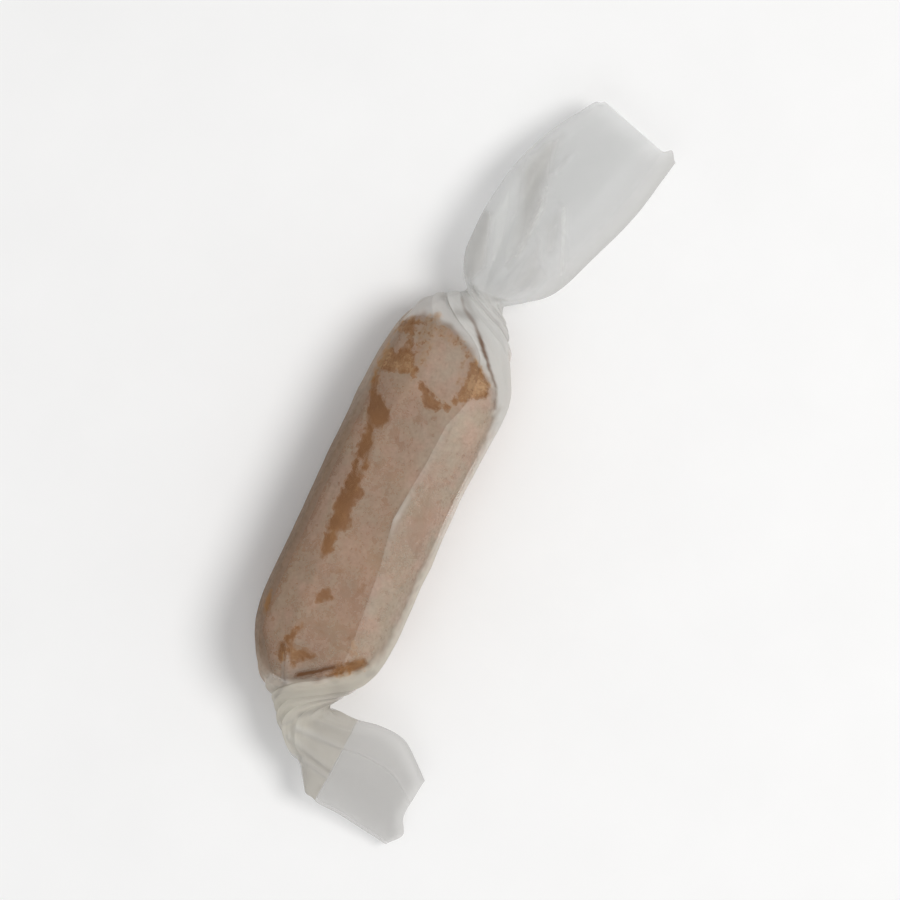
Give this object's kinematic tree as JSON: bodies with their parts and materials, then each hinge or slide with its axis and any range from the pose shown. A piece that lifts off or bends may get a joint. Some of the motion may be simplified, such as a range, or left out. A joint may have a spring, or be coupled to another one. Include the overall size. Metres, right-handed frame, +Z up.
{
  "type": "salted caramel candy",
  "caption": "Soft caramel log rolled in translucent waxed paper, twisted shut at both ends, with flat spread paper tails.",
  "frame": {"origin": "on the flat spot under the middle of the caramel log, where the candy rests", "axes": "+X along the log towards its wider tail, +Z up through the side the picture shows, +Y across, away from the bent tail"},
  "size_m": [0.0878, 0.0263, 0.0135],
  "materials": {
    "caramel": "soft sheen",
    "waxed_paper": "waxed, translucent"
  },
  "bodies": {
    "root": {"caramel": "caramel", "wrapper": "waxed_paper"}
  },
  "joints": []
}
